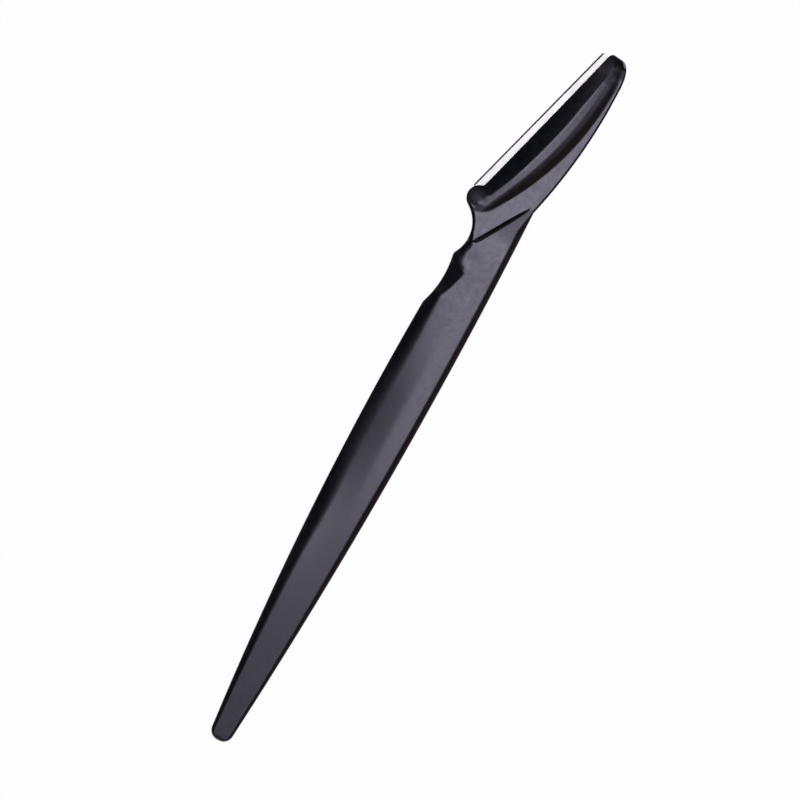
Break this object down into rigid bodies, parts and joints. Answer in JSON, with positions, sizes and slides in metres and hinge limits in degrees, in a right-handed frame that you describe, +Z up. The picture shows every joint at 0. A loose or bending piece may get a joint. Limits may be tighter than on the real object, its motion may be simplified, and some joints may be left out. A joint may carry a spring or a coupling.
{
  "type": "eyebrow trimmer",
  "caption": "Slim rigid eyebrow trimmer: a tapered black plastic handle with a finger scallop and a thin head that holds a straight bare steel blade.",
  "frame": {"origin": "middle of the bounding box at the base: the trimmer lies on its flat side, and z = 0 is the surface under it", "axes": "+X runs from the round tail to the tip of the head, +Y points to the side of the blade's edge, +Z points up out of the flat side"},
  "size_m": [0.155, 0.0168, 0.0045],
  "materials": {
    "black_plastic": "satin black with a fine moulded grain",
    "ground_steel": "bright, finely ground lengthwise, with a honed edge"
  },
  "bodies": {
    "root": {"handle": "black_plastic", "blade": "ground_steel"}
  },
  "joints": []
}
